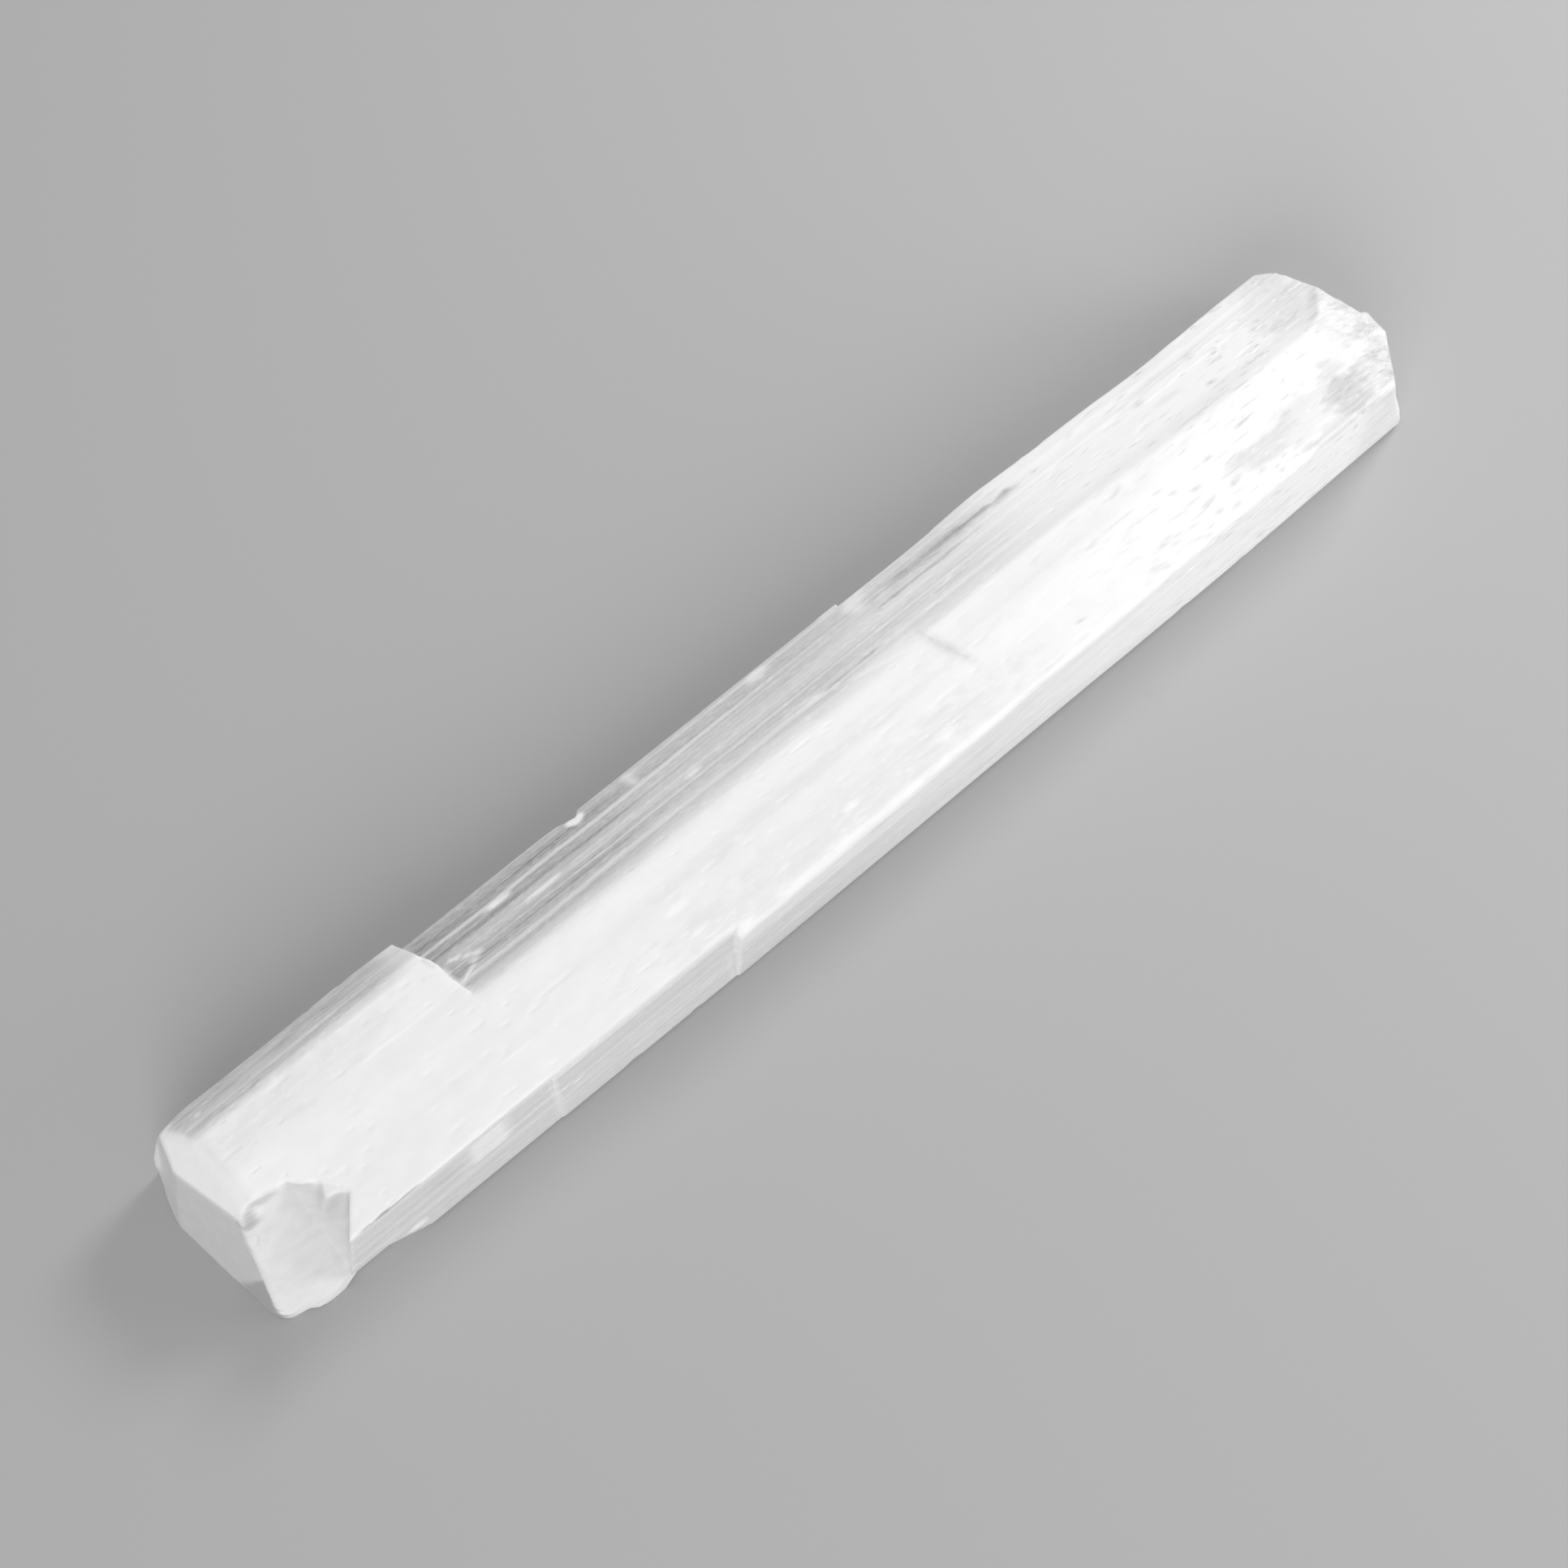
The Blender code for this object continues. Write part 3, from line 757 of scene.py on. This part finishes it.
# %% Which points lie on faces that cut across the fibres, and which in the chip
STEEP = (0.25, 0.5)
IN_CHIP, BELOW_CHIP_RIM = (-0.6, -0.3), (0.1, 0.5)
normals = np.empty(3 * len(mesh.vertices), dtype=np.float32)
mesh.vertices.foreach_get("normal", normals)
across_fibres = ease(*STEEP, np.abs(normals.reshape(-1, 3)[:, 0])) * (sx < 0)
chip_front = np.min([in_front(surface, place, facing) for place, facing, _ in SPLINTERS["chip"][1:]], axis=0)
chipped = ease(*IN_CHIP, chip_front) * ease(*BELOW_CHIP_RIM, HEIGHT - sz)
fibrous = 1 - np.maximum(across_fibres, chipped)
print("points along the fibres", round(float(fibrous.mean()), 3))

# %% Clearness of the near end's facets, darker below a line across its foot
END_CLEARNESS, CORNER_CLEARNESS, FOOT_CLEARNESS = 0.33, 0.27, 0.70
FACET_CLEARNESS = {
    "near_end": END_CLEARNESS,
    "near_end_foot": END_CLEARNESS,
    "near_end_heel": END_CLEARNESS,
    "near_end_corner": CORNER_CLEARNESS,
}
FACET_EDGE = (0.12, 0.3)
FOOT_LINE_Y, FOOT_LINE_Z, FOOT_LINE_LEAN, FOOT_LINE_EDGE = -3.72, 0.2, 0.493, (-0.2, 0.2)
facets = np.maximum.reduce([
    value * on_plane(WHOLE_PLANES[name], FACET_EDGE) for name, value in FACET_CLEARNESS.items()
])
below_foot_line = ease(*FOOT_LINE_EDGE, -(sy - FOOT_LINE_Y + FOOT_LINE_LEAN * (sz - FOOT_LINE_Z)))
facets = facets + (FOOT_CLEARNESS - END_CLEARNESS) * below_foot_line * facets / END_CLEARNESS
print("facets cleared to", round(float(facets.max()), 2))

# %% Clouds and painted shade in the chip, painted shade in the crevice beside it, and painted light on the chamfer
CLOUD_FLOOR, CHIP_SHADE_GROWTH, CLOUD_MOTTLE, CHIP_SHADE_FROM = 0.06, 0.17, 0.05, (-88.5, -83.5)
CREVICE_SHADE = (((-93.2, -2.3, 15.7), (2.0, 1.2), 0.50), ((-90.3, -1.7, 17.2), (3.4, 0.8), 0.28))
CHAMFER_EDGE, CHAMFER_END, CHAMFER_PAINTED_LIGHT = (0.1, 0.6), (0.0, 0.3), 0.8
# The chip's even grey and its mottle are its own clouding; the grey that grows across the chip away from the
# end is painted shade
chip_cloud_and_shade = CLOUD_FLOOR + CHIP_SHADE_GROWTH * ease(*CHIP_SHADE_FROM, sx)
chip_cloud_and_shade = chip_cloud_and_shade + CLOUD_MOTTLE * streaky(up_the_chip(sy, sz), 1.6, 1.1, 67)
# Painted shade: a dark crease where the top stands above the chip
crevice_shade = largest_patch(CREVICE_SHADE, soft=0.5, first_seed=170)
clearness_and_shade = np.maximum.reduce([clearness_and_shade * fibrous, facets * (1 - chipped), chip_cloud_and_shade * chipped, crevice_shade])
# Painted light: the chamfer faces away from the key light and is painted whiter
behind_end = -in_front(surface, *WHOLE_PLANES["near_end"][:2])
on_chamfer = on_plane(WHOLE_PLANES["chamfer"], CHAMFER_EDGE) * ease(*CHAMFER_END, behind_end)
bruises_and_painted_light = np.maximum(bruises_and_painted_light, CHAMFER_PAINTED_LIGHT * on_chamfer)
for name, values in (("clearness_and_shade", clearness_and_shade), ("fibrous", fibrous), ("bruises_and_painted_light", bruises_and_painted_light)):
    mesh.attributes.new(name, "FLOAT", "POINT").data.foreach_set("value", values.astype(np.float32))
print("bruised points", int((bruises_and_painted_light > 0.5).sum()), "of", len(bruises_and_painted_light))

# %% [markdown]
# ## The satin spar
# One material covers the stick: a scattering white body, darker, smoother and a little see-through where
# the clearness and painted shade are high, and whiter where it is bruised or carries painted light. Noise on
# the object's own coordinates, stretched along the fibres, breaks the clearness and painted shade into
# streaks and flecks. A picture wrapped round the stick would do it too, but it would show seams at the ends
# and blur from close by.

# %% Helpers for wiring a material
def add_node(tree, kind, **values):
    """A new node, with its properties set from the values."""
    node = tree.nodes.new(kind)
    for name, value in values.items():
        setattr(node, name, value)
    return node


def stretched_noise(tree, place, fibre_length, fibre_width, detail, seed):
    """Noise whose grain is fibre_length along X and fibre_width across, in metres."""
    mapping = add_node(tree, "ShaderNodeMapping")
    mapping.inputs["Scale"].default_value = (1 / fibre_length, 1 / fibre_width, 1 / fibre_width)
    mapping.inputs["Location"].default_value = (seed, 2 * seed, 3 * seed)
    noise = add_node(tree, "ShaderNodeTexNoise")
    noise.inputs["Scale"].default_value = 1.0
    noise.inputs["Detail"].default_value = detail
    tree.links.new(place, mapping.inputs["Vector"])
    tree.links.new(mapping.outputs["Vector"], noise.inputs["Vector"])
    return noise.outputs["Fac"]


def calculate(tree, operation, *values, clamp=False):
    """A Math node; each input may be a socket or a number. Multiply-add is first times second plus third."""
    node = add_node(tree, "ShaderNodeMath", operation=operation, use_clamp=clamp)
    for index, value in enumerate(values):
        if isinstance(value, (int, float)):
            node.inputs[index].default_value = value
        else:
            tree.links.new(value, node.inputs[index])
    return node.outputs[0]


def spread(tree, value, low, high):
    """Stretch the part of a value between low and high to run from 0 to 1."""
    node = add_node(tree, "ShaderNodeMapRange")
    node.inputs["From Min"].default_value = low
    node.inputs["From Max"].default_value = high
    tree.links.new(value, node.inputs["Value"])
    return node.outputs[0]


def blend_colours(tree, share, first, second):
    """The first colour at a share of 0, the second at 1; each may be a socket or four numbers."""
    node = add_node(tree, "ShaderNodeMix", data_type="RGBA")
    tree.links.new(share, node.inputs["Factor"])
    for name, value in (("A", first), ("B", second)):
        socket = next(s for s in node.inputs if s.name == name and s.type == "RGBA")
        if isinstance(value, tuple):
            socket.default_value = value
        else:
            tree.links.new(value, socket)
    return next(s for s in node.outputs if s.type == "RGBA")


# %% Read the attributes and make the noises
# Each noise: grain length and width in metres, detail, seed, and the range that is spread from 0 to 1
NOISES = {
    "broad": (0.160, 0.0010, 1.0, 3.0, 0.36, 0.64),
    "thin": (0.030, 0.00030, 2.0, 7.0, 0.34, 0.66),
    "scaly": (0.0012, 0.00036, 3.0, 11.0, 0.30, 0.70),
    "flecks": (0.0016, 0.00050, 2.0, 17.0, 0.62, 0.76),
    "clouds": (0.030, 0.0035, 2.0, 23.0, 0.35, 0.65),
    "mottle": (0.0034, 0.0022, 3.0, 29.0, 0.32, 0.68),
}
spar = bpy.data.materials.new("satin_spar")
spar.use_nodes = True
tree = spar.node_tree
shader = tree.nodes["Principled BSDF"]
place = add_node(tree, "ShaderNodeTexCoord").outputs["Object"]
clear_and_shade, fibrous_share, bruise_and_painted_light = [
    add_node(tree, "ShaderNodeAttribute", attribute_name=name).outputs["Fac"]
    for name in ("clearness_and_shade", "fibrous", "bruises_and_painted_light")
]
broad, thin, scaly, flecks, clouds, mottle = [
    spread(tree, stretched_noise(tree, place, *noise), low, high) for *noise, low, high in NOISES.values()
]
print("noises", list(NOISES))

# %% Mix clearness and painted shade, streaks and flecks into one colour, then whiten it by bruises and painted light
MILKY_WHITE = (0.88, 0.88, 0.88, 1.0)
CLOUDY_WHITE = (0.80, 0.80, 0.80, 1.0)
BRUISE_AND_PAINTED_LIGHT_WHITE = (0.97, 0.97, 0.97, 1.0)
CLEAR_AND_SHADE_GREY = (0.24, 0.24, 0.24, 1.0)
EVEN_SHARE, BROAD_SHARE, THIN_SHARE, SCALY_SHARE = 0.50, 0.36, 0.26, 0.26
FLECK_SHARE, CLOUD_SHARE, MOTTLE_SHARE = 0.16, 0.25, 0.35
lines = calculate(tree, "MULTIPLY_ADD", broad, BROAD_SHARE, EVEN_SHARE)
lines = calculate(tree, "ADD", lines, calculate(tree, "MULTIPLY", thin, THIN_SHARE))
lines = calculate(tree, "SUBTRACT", lines, calculate(tree, "MULTIPLY", scaly, SCALY_SHARE))
lines = calculate(tree, "MAXIMUM", lines, calculate(tree, "SUBTRACT", 1.0, fibrous_share))
flecked = calculate(tree, "MULTIPLY", calculate(tree, "MULTIPLY", flecks, fibrous_share), FLECK_SHARE)
cleared_and_shaded = calculate(tree, "SUBTRACT", calculate(tree, "MULTIPLY", clear_and_shade, lines), flecked, clamp=True)
mottled = calculate(tree, "MULTIPLY", mottle, MOTTLE_SHARE)
clouded = calculate(tree, "ADD", calculate(tree, "MULTIPLY", clouds, CLOUD_SHARE), mottled)
body = blend_colours(tree, clouded, MILKY_WHITE, CLOUDY_WHITE)
colour = blend_colours(tree, cleared_and_shaded, body, CLEAR_AND_SHADE_GREY)
colour = blend_colours(tree, bruise_and_painted_light, colour, BRUISE_AND_PAINTED_LIGHT_WHITE)
tree.links.new(colour, shader.inputs["Base Color"])
print("milky", MILKY_WHITE[0], "clear_and_shade", CLEAR_AND_SHADE_GREY[0])

# %% How the spar scatters, shines and lets light through
CLEAR_TRANSMISSION = 0.22
MILKY_ROUGHNESS, CLEAR_POLISH = 0.48, 0.16
SELENITE_IOR = 1.52
SCATTERING, SCATTERING_DEPTH = 0.30, 0.0015
transmission = calculate(tree, "MULTIPLY", cleared_and_shaded, CLEAR_TRANSMISSION)
roughness = calculate(tree, "SUBTRACT", MILKY_ROUGHNESS, calculate(tree, "MULTIPLY", cleared_and_shaded, CLEAR_POLISH))
tree.links.new(transmission, shader.inputs["Transmission Weight"])
tree.links.new(roughness, shader.inputs["Roughness"])
shader.inputs["IOR"].default_value = SELENITE_IOR
shader.inputs["Subsurface Weight"].default_value = SCATTERING
shader.inputs["Subsurface Radius"].default_value = (1.0, 1.0, 1.0)
shader.inputs["Subsurface Scale"].default_value = SCATTERING_DEPTH
print("light scatters", SCATTERING_DEPTH / MM, "mm deep")

# %% Fine fibres as bump, below what the mesh can hold
BUMP_STRENGTH, BUMP_DISTANCE = 0.5, 0.00006
MILKY_FIBRE_DEPTH, CLEAR_FIBRE_DEPTH = 0.20, 0.80
SCALY_DEPTH, MOTTLE_DEPTH = 0.6, 0.35
bump = add_node(tree, "ShaderNodeBump")
bump.inputs["Strength"].default_value = BUMP_STRENGTH
bump.inputs["Distance"].default_value = BUMP_DISTANCE
fibre_depth = calculate(tree, "MULTIPLY_ADD", clear_and_shade, CLEAR_FIBRE_DEPTH, MILKY_FIBRE_DEPTH)
fibre_lines = calculate(tree, "ADD", thin, calculate(tree, "MULTIPLY", scaly, SCALY_DEPTH))
fibre_lines = calculate(tree, "MULTIPLY", fibre_lines, fibre_depth)
fibre_lines = calculate(tree, "MULTIPLY", fibre_lines, fibrous_share)
bump_height = calculate(tree, "ADD", fibre_lines, calculate(tree, "MULTIPLY", mottle, MOTTLE_DEPTH))
tree.links.new(bump_height, bump.inputs["Height"])
tree.links.new(bump.outputs["Normal"], shader.inputs["Normal"])
print("material nodes", len(tree.nodes))

# %% Give the crystal its material and its place in the frame
crystal.data.materials.append(spar)
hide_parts(NODE)
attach(crystal, "root")
print("crystal stands for", NODE)

# %% [markdown]
# ## Floor and light
# The stick lies on a plain pale floor. A key light stands beyond its far end, so that the near end's facets
# fall into half shade. A large light fills in from the camera's side, and a small low one brightens the far
# half of the front. The plain surroundings do the rest. One light overhead would be simpler, but it would
# leave the top far brighter than every other flat.

# %% Floor
FLOOR_HALF = 1.5
FLOOR_COLOUR = (0.42, 0.42, 0.42, 1.0)
FLOOR_ROUGHNESS = 0.9
floor_mesh = bpy.data.meshes.new("floor")
floor_mesh.from_pydata([
    (-FLOOR_HALF, -FLOOR_HALF, 0.0), (FLOOR_HALF, -FLOOR_HALF, 0.0),
    (FLOOR_HALF, FLOOR_HALF, 0.0), (-FLOOR_HALF, FLOOR_HALF, 0.0),
], [], [(0, 1, 2, 3)])
floor = bpy.data.objects.new("floor", floor_mesh)
bpy.context.collection.objects.link(floor)
floor_paint = bpy.data.materials.new("pale_floor")
floor_paint.use_nodes = True
floor_shader = floor_paint.node_tree.nodes["Principled BSDF"]
floor_shader.inputs["Base Color"].default_value = FLOOR_COLOUR
floor_shader.inputs["Roughness"].default_value = FLOOR_ROUGHNESS
floor_mesh.materials.append(floor_paint)
print("floor", 2 * FLOOR_HALF, "m wide")

# %% Lights and surroundings
SURROUNDINGS = 0.50


def soft_light(name, azimuth, elevation, distance, size, power):
    """A round area light that looks at the stick. Azimuth and elevation are in degrees, from +X towards +Y
    and from the floor up; distance and size are in metres, and power in watts."""
    turn, lift = math.radians(azimuth), math.radians(elevation)
    away = Vector((math.cos(turn) * math.cos(lift), math.sin(turn) * math.cos(lift), math.sin(lift)))
    data = bpy.data.lights.new(name, "AREA")
    data.shape = "DISK"
    data.size = size
    data.energy = power
    light = bpy.data.objects.new(name, data)
    light.location = distance * away
    light.rotation_mode = "QUATERNION"
    light.rotation_quaternion = (-away).to_track_quat("-Z", "Y")
    bpy.context.collection.objects.link(light)


soft_light("far_key", azimuth=11.0, elevation=40.0, distance=0.60, size=0.20, power=1.55)
soft_light("near_fill", azimuth=224.0, elevation=35.0, distance=1.3, size=0.9, power=7.6)
soft_light("front_fill", azimuth=322.0, elevation=12.0, distance=0.50, size=0.25, power=0.80)
world = bpy.data.worlds.new("studio")
world.use_nodes = True
world.node_tree.nodes["Background"].inputs["Color"].default_value = (1.0, 1.0, 1.0, 1.0)
world.node_tree.nodes["Background"].inputs["Strength"].default_value = SURROUNDINGS
bpy.context.scene.world = world
bpy.context.scene.view_settings.view_transform = "Standard"
print("lights", len(bpy.data.lights))
